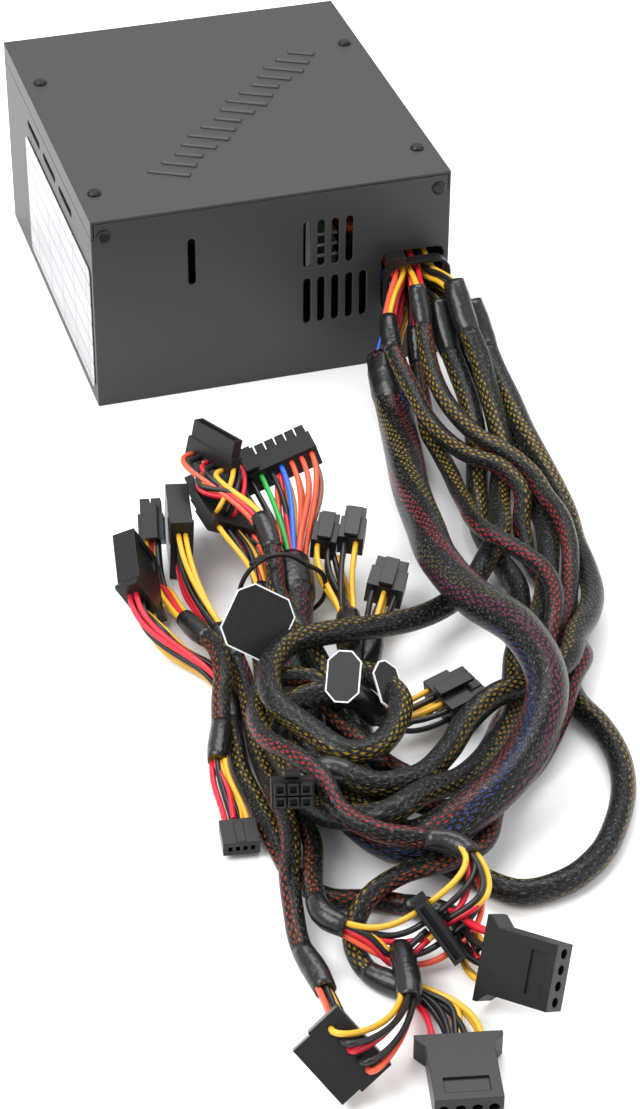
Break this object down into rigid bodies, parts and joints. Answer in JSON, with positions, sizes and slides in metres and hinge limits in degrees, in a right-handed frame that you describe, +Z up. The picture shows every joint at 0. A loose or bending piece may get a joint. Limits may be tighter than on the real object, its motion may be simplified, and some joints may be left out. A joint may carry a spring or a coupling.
{
  "type": "desktop computer power supply unit",
  "caption": "Black steel-cased computer power supply with bottom fan, mains inlet, switch and a harness of braided cables with black plugs.",
  "frame": {"origin": "bottom centre of the steel case", "axes": "+Z up from the underside to the lid, +Y from the cable outlet's face to the mains face, +X towards the cable outlet's side"},
  "size_m": [0.1883, 0.5792, 0.0872],
  "materials": {
    "powder_coat": "satin black powder coat",
    "black_screw": "black oxide",
    "label": "satin printed film",
    "black_plastic": "fine moulded texture",
    "grille_wire": "plated",
    "board": "matte laminate",
    "film": "satin film",
    "aluminium": "extruded",
    "ferrite": "taped",
    "capacitor_can": "sleeved",
    "copper_winding": "enamelled",
    "wire_insulation": "bundled insulated wires",
    "nylon": "moulded",
    "braided_sleeve": "open braid over coloured wires"
  },
  "bodies": {
    "case": {"case_tray": "powder_coat", "lid": "powder_coat", "lid_screw_1": "black_screw", "lid_screw_2": "black_screw", "lid_screw_3": "black_screw", "lid_screw_4": "black_screw", "front_screw_1": "black_screw", "front_screw_2": "black_screw", "fan_screw_1": "black_screw", "fan_screw_2": "black_screw", "fan_screw_3": "black_screw", "fan_screw_4": "black_screw", "rating_label": "label", "ac_inlet": "black_plastic", "switch_housing": "black_plastic", "fan_frame": "black_plastic", "fan_grille": "grille_wire", "circuit_board": "board", "insulator_sheet": "film", "primary_heatsink": "aluminium", "secondary_heatsink": "aluminium", "main_transformer": "ferrite", "bulk_capacitor": "capacitor_can", "output_capacitor": "capacitor_can", "pfc_choke": "copper_winding", "output_choke": "copper_winding", "wire_bundle": "wire_insulation", "bundle_tie": "nylon", "neck_tie": "nylon", "cable_graphics_c": "braided_sleeve", "cable_sata_a": "braided_sleeve", "cable_main": "braided_sleeve", "cable_cpu": "braided_sleeve", "cable_graphics_a": "braided_sleeve", "cable_graphics_b": "braided_sleeve", "cable_sata_b": "braided_sleeve", "cable_drive_a": "braided_sleeve", "link_drive_b": "braided_sleeve", "link_sata_d": "braided_sleeve", "link_sata_c": "braided_sleeve", "link_floppy": "braided_sleeve", "plug_main_24pin": "nylon", "plug_sata_a": "nylon", "plug_sata_b": "nylon", "plug_sata_c": "nylon", "plug_sata_d": "nylon", "plug_drive_a": "nylon", "plug_drive_b": "nylon", "plug_drive_c": "nylon", "plug_drive_d": "nylon", "plug_cpu_a": "nylon", "plug_cpu_b": "nylon", "plug_cpu_c": "nylon", "plug_graphics_a": "nylon", "plug_graphics_b": "nylon", "plug_graphics_c": "nylon", "plug_floppy": "nylon"},
    "fan": {"fan_rotor": "black_plastic"},
    "rocker": {"switch_rocker": "black_plastic"}
  },
  "joints": [
    {"name": "fan_spin", "type": "hinge", "parent": "case", "child": "fan", "pos_m": [0, 0, 0.018], "axis": [0, 0, 1], "continuous": true},
    {"name": "rocker_tip", "type": "hinge", "parent": "case", "child": "rocker", "pos_m": [-0.05, 0.0802, 0.026], "axis": [0, 0, 1], "range_deg": [0, 24]}
  ]
}
